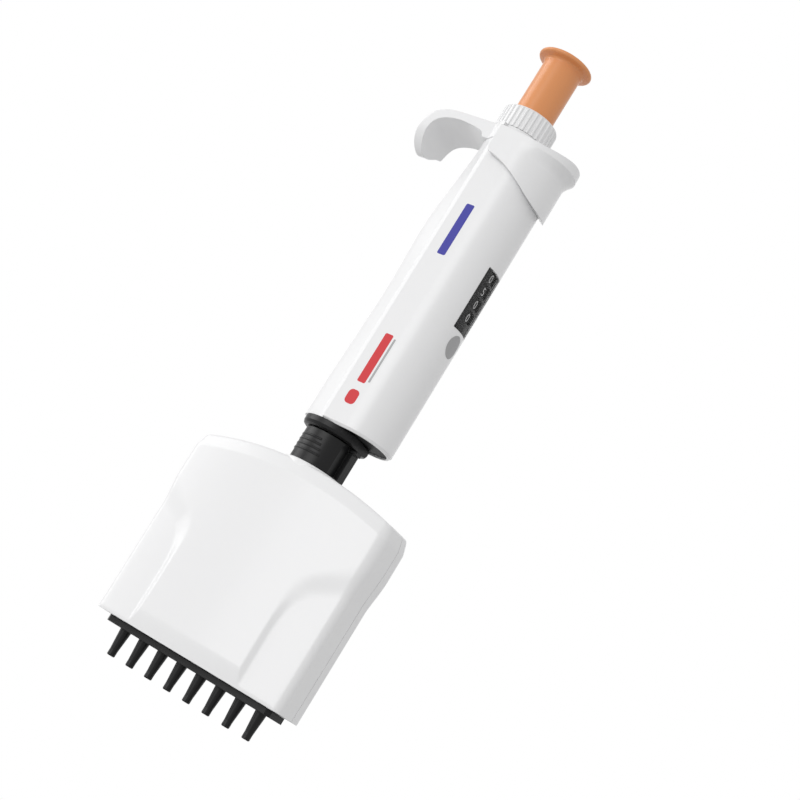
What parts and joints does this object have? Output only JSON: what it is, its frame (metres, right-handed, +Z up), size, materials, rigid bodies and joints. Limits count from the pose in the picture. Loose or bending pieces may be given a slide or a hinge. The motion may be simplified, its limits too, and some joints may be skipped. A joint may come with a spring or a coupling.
{
  "type": "multichannel pipette",
  "caption": "Hand-held multichannel pipette: slim handle with push button, volume dial, finger hook and tip ejector over a wide swivelling head with a row of tapered nozzles.",
  "frame": {"origin": "on the plunger axis, in the plane of the nozzle tips, which is the middle of the nozzle row", "axes": "+Z up the plunger axis towards the push button; +X along the nozzle row, towards the volume display and the thumb lip, so the finger hook points to -X; +Y across the head"},
  "size_m": [0.0868, 0.0304, 0.2646],
  "materials": {
    "white_shell": "gloss",
    "black_plastic": "satin",
    "orange_button": "gloss",
    "grey_cover": "matt",
    "dark_floor": "matt",
    "clear_lens": "clear gloss",
    "inner_plastic": "matt",
    "wheel_black": "matt",
    "steel": "satin",
    "spring_steel": "satin",
    "seal_rubber": "matt",
    "brass_gear": "satin"
  },
  "bodies": {
    "handle": {"handle_shell": "white_shell", "finger_hook": "white_shell", "handle_floor": "dark_floor", "lock_nut": "black_plastic", "handle_top": "inner_plastic", "mechanism_frame": "inner_plastic", "window_lens": "clear_lens", "window_bezel": "black_plastic", "calibration_cover": "grey_cover", "calibration_screw": "steel", "fixed_zero_ring": "wheel_black", "stop_guide_pin": "steel", "primary_spring": "spring_steel", "blowout_spring": "spring_steel", "ejector_spring": "spring_steel"},
    "dial": {"volume_dial": "white_shell", "dial_sleeve": "inner_plastic", "drive_gear": "brass_gear", "lead_screw": "steel"},
    "stop": {"volume_stop": "inner_plastic"},
    "fast_wheel": {"digit_wheel_3": "wheel_black", "counter_shaft": "steel", "counter_pinion": "brass_gear"},
    "middle_wheel": {"digit_wheel_2": "wheel_black"},
    "slow_wheel": {"digit_wheel_1": "wheel_black"},
    "plunger": {"push_button": "orange_button", "plunger_rod": "steel", "rod_stop_ring": "steel", "spring_collar": "inner_plastic"},
    "washer": {"blowout_washer": "inner_plastic"},
    "ejector": {"ejector_button": "white_shell", "ejector_push_rods": "steel", "ejector_ring": "inner_plastic"},
    "head": {"head_front_shell": "white_shell", "head_rear_shell": "white_shell", "head_screws": "steel", "neck": "black_plastic", "retaining_clip": "steel", "head_frame": "inner_plastic", "guide_rods": "steel", "nozzle_block": "dark_floor", "nozzle_clamp": "inner_plastic", "seal_plate": "inner_plastic", "piston_seals": "seal_rubber", "nozzle_1": "black_plastic", "nozzle_2": "black_plastic", "nozzle_3": "black_plastic", "nozzle_4": "black_plastic", "nozzle_5": "black_plastic", "nozzle_6": "black_plastic", "nozzle_7": "black_plastic", "nozzle_8": "black_plastic"},
    "piston_carriage": {"piston_bar": "inner_plastic", "pistons": "steel", "push_rod": "steel", "bar_springs": "spring_steel"},
    "ejector_comb": {"ejector_plate": "black_plastic", "ejector_side_rods": "steel", "ejector_yoke": "inner_plastic"}
  },
  "joints": [
    {"name": "volume_dial_turn", "type": "hinge", "parent": "handle", "child": "dial", "pos_m": [0, 0, 0.2334], "axis": [0, 0, 1], "range_deg": [0, 13680]},
    {"name": "volume_stop_travel", "type": "slide", "parent": "handle", "child": "stop", "axis": [0, 0, 1], "range_m": [0, 0.0114]},
    {"name": "fast_wheel_turn", "type": "hinge", "parent": "handle", "child": "fast_wheel", "pos_m": [0.01225, 0, 0.17], "axis": [0, 0, 1], "range_deg": [-34200, 0]},
    {"name": "middle_wheel_turn", "type": "hinge", "parent": "handle", "child": "middle_wheel", "pos_m": [0.01225, 0, 0.17], "axis": [0, 0, 1], "range_deg": [-3420, 0]},
    {"name": "slow_wheel_turn", "type": "hinge", "parent": "handle", "child": "slow_wheel", "pos_m": [0.01225, 0, 0.17], "axis": [0, 0, 1], "range_deg": [-342, 0]},
    {"name": "plunger_press", "type": "slide", "parent": "dial", "child": "plunger", "axis": [0, 0, -1], "range_m": [0, 0.0155], "stiffness_N_per_m": 400, "springref_m": -0.0075, "deforming": ["primary_spring"]},
    {"name": "blowout_stage", "type": "slide", "parent": "handle", "child": "washer", "axis": [0, 0, -1], "range_m": [0, 0.0035], "deforming": ["blowout_spring"]},
    {"name": "ejector_press", "type": "slide", "parent": "handle", "child": "ejector", "axis": [0, 0, -1], "range_m": [0, 0.006], "stiffness_N_per_m": 600, "springref_m": -0.008, "deforming": ["ejector_spring"]},
    {"name": "head_swivel", "type": "hinge", "parent": "handle", "child": "head", "pos_m": [0, 0, 0.104], "axis": [0, 0, 1], "continuous": true},
    {"name": "piston_travel", "type": "slide", "parent": "head", "child": "piston_carriage", "axis": [0, 0, -1], "range_m": [0, 0.0155], "deforming": ["bar_springs"]},
    {"name": "ejector_comb_travel", "type": "slide", "parent": "head", "child": "ejector_comb", "axis": [0, 0, -1], "range_m": [0, 0.006]}
  ],
  "couplings": [
    {"joint": "volume_stop_travel", "follows": "volume_dial_turn", "m_per_rad": 0.000047746},
    {"joint": "fast_wheel_turn", "follows": "volume_dial_turn", "ratio": -2.5},
    {"joint": "middle_wheel_turn", "follows": "volume_dial_turn", "ratio": -0.25},
    {"joint": "slow_wheel_turn", "follows": "volume_dial_turn", "ratio": -0.025},
    {"joint": "blowout_stage", "follows": "plunger_press", "ratio": 0.2258},
    {"joint": "piston_travel", "follows": "plunger_press", "ratio": 1},
    {"joint": "ejector_comb_travel", "follows": "ejector_press", "ratio": 1}
  ]
}
